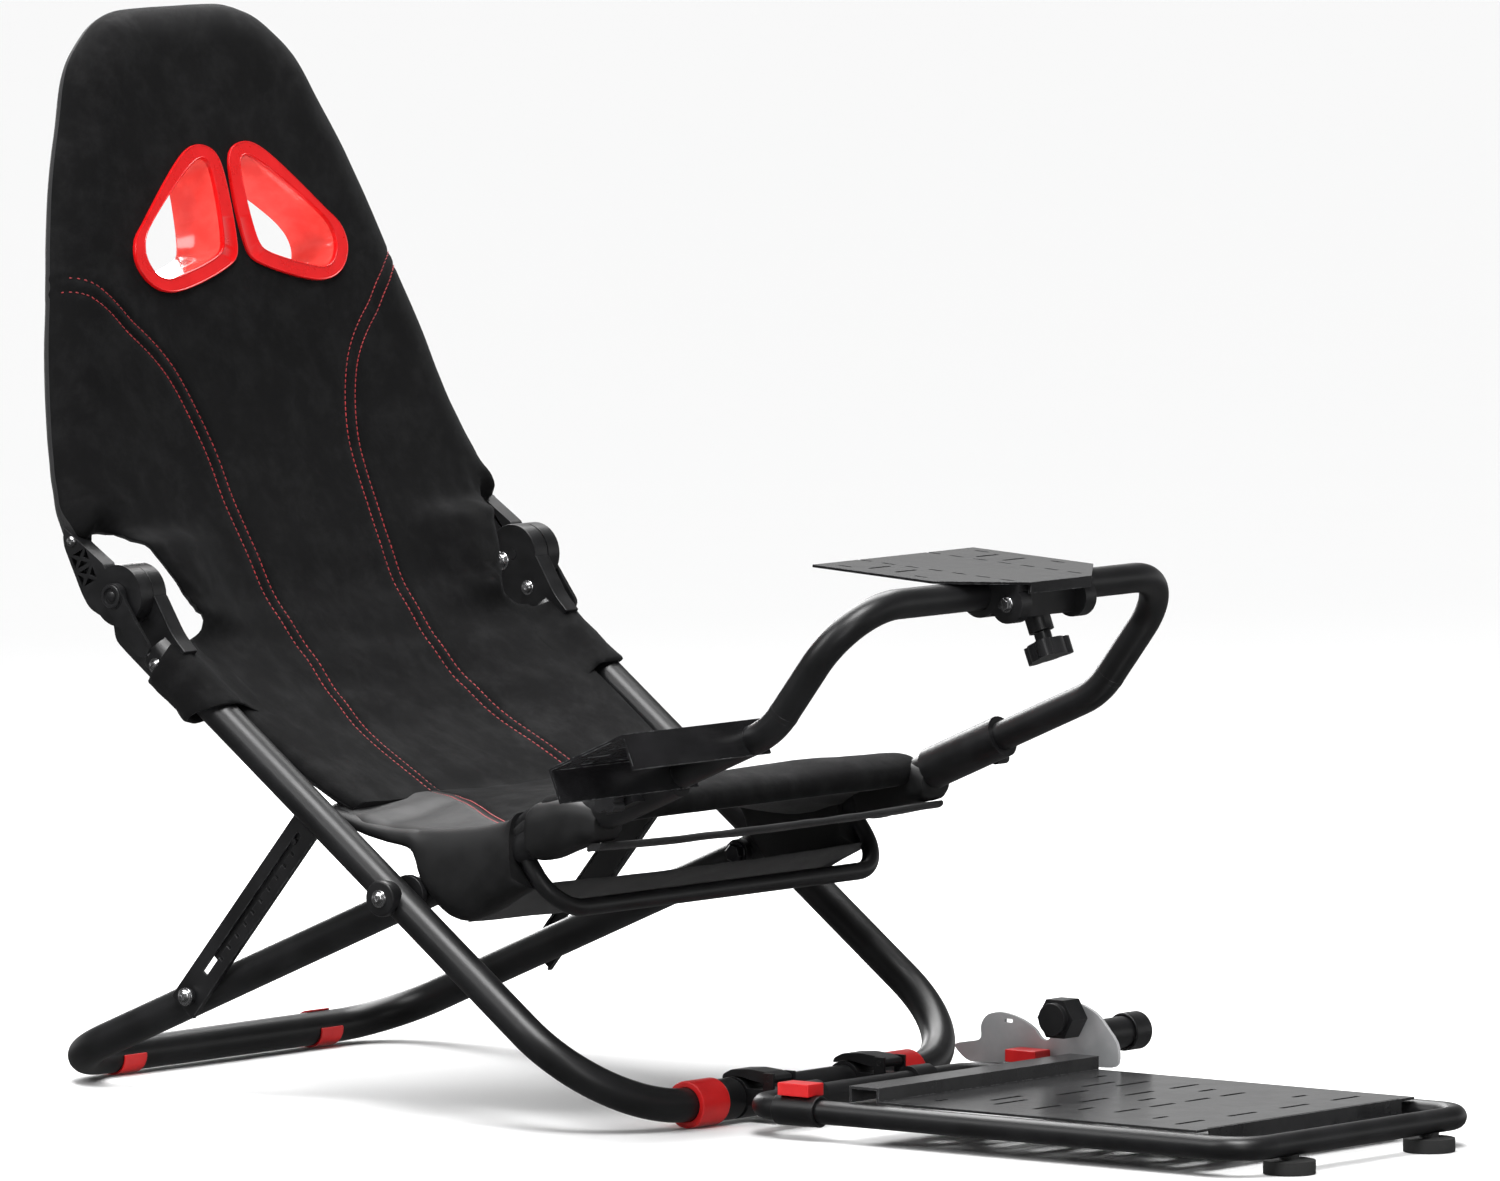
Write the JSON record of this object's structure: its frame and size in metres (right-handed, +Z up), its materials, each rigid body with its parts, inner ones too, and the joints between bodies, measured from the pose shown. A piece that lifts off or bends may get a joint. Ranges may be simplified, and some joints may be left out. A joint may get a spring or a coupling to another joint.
{
  "type": "sim racing cockpit",
  "caption": "Folding sling racing seat on a crossed tube frame, with a telescoping wheel stand, shifter bracket and slotted pedal deck.",
  "frame": {"origin": "on the floor, below the middle of the whole part's box", "axes": "+X forward towards the pedals, +Y to the sitter's left, +Z up"},
  "size_m": [1.4491, 0.752, 1.0147],
  "materials": {
    "frame_paint": "satin black powder coat on steel tube",
    "plate_paint": "satin black powder coat on pressed sheet",
    "bare_steel": "zinc-plated sheet",
    "seat_fabric": "black suede-like fabric over thin padding, smooth side bands, red twin stitching",
    "red_plastic": "glossy red moulded plastic",
    "black_plastic": "fine-grained black moulded plastic",
    "foot_rubber": "matt black rubber"
  },
  "bodies": {
    "rear_frame": {"rear_leg_frame": "frame_paint", "seat_brace": "frame_paint", "seat_cushion": "seat_fabric", "rear_foot_clips": "red_plastic", "pivot_spacers": "black_plastic", "arm_sleeves": "black_plastic"},
    "front_frame": {"front_leg_frame": "frame_paint", "hinge_lower_brackets": "black_plastic", "lower_back_sling": "seat_fabric", "ground_collars": "red_plastic", "tube_couplers": "black_plastic"},
    "backrest": {"hinge_upper_brackets": "black_plastic", "backrest_cushion": "seat_fabric", "bezel_near": "red_plastic", "bezel_far": "red_plastic"},
    "recline_lever_n": {"recline_lever_near": "black_plastic"},
    "recline_lever_f": {"recline_lever_far": "black_plastic"},
    "strut_channel_n": {"strut_channel_near": "plate_paint"},
    "strut_channel_f": {"strut_channel_far": "plate_paint"},
    "strut_bar_n": {"strut_bar_near": "plate_paint"},
    "strut_bar_f": {"strut_bar_far": "plate_paint"},
    "wheel_arm": {"steering_arm": "frame_paint", "shifter_bracket": "plate_paint"},
    "wheel_mount": {"wheel_plate": "plate_paint", "plate_clamp": "black_plastic"},
    "plate_knob_body": {"plate_knob": "black_plastic"},
    "sleeve_knob_n": {"sleeve_knob_near": "black_plastic"},
    "sleeve_knob_f": {"sleeve_knob_far": "black_plastic"},
    "pedal_deck": {"tube_clips": "black_plastic", "pedal_frame": "frame_paint", "pedal_plate": "plate_paint", "lock_saddles": "black_plastic", "lock_tabs": "red_plastic", "ear_plate": "bare_steel", "side_tube": "frame_paint", "side_tube_cap": "black_plastic", "level_feet": "foot_rubber"},
    "ear_knob_body": {"ear_knob": "black_plastic"},
    "clip_lever_n": {"clip_lever_near": "black_plastic"},
    "clip_lever_f": {"clip_lever_far": "black_plastic"}
  },
  "joints": [
    {"name": "frame_fold", "type": "hinge", "parent": "rear_frame", "child": "front_frame", "pos_m": [-0.1945, 0.055, 0.20901], "axis": [0, 1, 0], "range_deg": [-15, 0]},
    {"name": "backrest_recline", "type": "hinge", "parent": "front_frame", "child": "backrest", "pos_m": [-0.50854, 0.055, 0.47401], "axis": [0, 1, 0], "range_deg": [-20, 100]},
    {"name": "recline_lever_near_turn", "type": "hinge", "parent": "backrest", "child": "recline_lever_n", "pos_m": [-0.50854, -0.262, 0.47401], "axis": [0, 1, 0], "range_deg": [0, 30]},
    {"name": "recline_lever_far_turn", "type": "hinge", "parent": "backrest", "child": "recline_lever_f", "pos_m": [-0.50854, 0.372, 0.47401], "axis": [0, 1, 0], "range_deg": [0, 30]},
    {"name": "strut_near_swing", "type": "hinge", "parent": "rear_frame", "child": "strut_channel_n", "pos_m": [-0.4585, -0.211, 0.09695], "axis": [0, 1, 0], "range_deg": [0, 1.7]},
    {"name": "strut_far_swing", "type": "hinge", "parent": "rear_frame", "child": "strut_channel_f", "pos_m": [-0.4585, 0.321, 0.09695], "axis": [0, 1, 0], "range_deg": [0, 1.7]},
    {"name": "strut_near_slide", "type": "slide", "parent": "strut_channel_n", "child": "strut_bar_n", "axis": [0.64, 0, 0.7684], "range_m": [-0.034, 0]},
    {"name": "strut_far_slide", "type": "slide", "parent": "strut_channel_f", "child": "strut_bar_f", "axis": [0.64, 0, 0.7684], "range_m": [-0.034, 0]},
    {"name": "arm_reach", "type": "slide", "parent": "rear_frame", "child": "wheel_arm", "axis": [0.9205, 0, 0.3907], "range_m": [0, 0.106]},
    {"name": "wheel_plate_tilt", "type": "hinge", "parent": "wheel_arm", "child": "wheel_mount", "pos_m": [0.30858, 0.055, 0.50051], "axis": [0, 1, 0], "range_deg": [-20, 20]},
    {"name": "plate_knob_turn", "type": "hinge", "parent": "wheel_mount", "child": "plate_knob_body", "pos_m": [0.34453, 0.055, 0.4481], "axis": [0.3697, 0, -0.9291], "continuous": true},
    {"name": "sleeve_knob_near_turn", "type": "hinge", "parent": "rear_frame", "child": "sleeve_knob_n", "pos_m": [0.06153, -0.245, 0.31769], "axis": [0, -1, 0], "continuous": true},
    {"name": "sleeve_knob_far_turn", "type": "hinge", "parent": "rear_frame", "child": "sleeve_knob_f", "pos_m": [0.06153, 0.355, 0.31769], "axis": [0, 1, 0], "continuous": true},
    {"name": "deck_fold", "type": "hinge", "parent": "front_frame", "child": "pedal_deck", "pos_m": [0.05458, 0.055, 0.022], "axis": [0, -1, 0], "range_deg": [0, 30]},
    {"name": "ear_knob_turn", "type": "hinge", "parent": "pedal_deck", "child": "ear_knob_body", "pos_m": [0.2375, 0.22, 0.086], "axis": [0, -1, 0], "continuous": true},
    {"name": "clip_lever_near_turn", "type": "hinge", "parent": "pedal_deck", "child": "clip_lever_n", "pos_m": [0.09758, -0.029, 0.0425], "axis": [0, 1, 0], "range_deg": [0, 60]},
    {"name": "clip_lever_far_turn", "type": "hinge", "parent": "pedal_deck", "child": "clip_lever_f", "pos_m": [0.09758, 0.139, 0.0425], "axis": [0, 1, 0], "range_deg": [0, 60]}
  ],
  "couplings": [
    {"joint": "strut_near_swing", "follows": "frame_fold", "ratio": -0.109},
    {"joint": "strut_far_swing", "follows": "frame_fold", "ratio": -0.109},
    {"joint": "strut_near_slide", "follows": "frame_fold", "m_per_rad": 0.1287},
    {"joint": "strut_far_slide", "follows": "frame_fold", "m_per_rad": 0.1287}
  ]
}
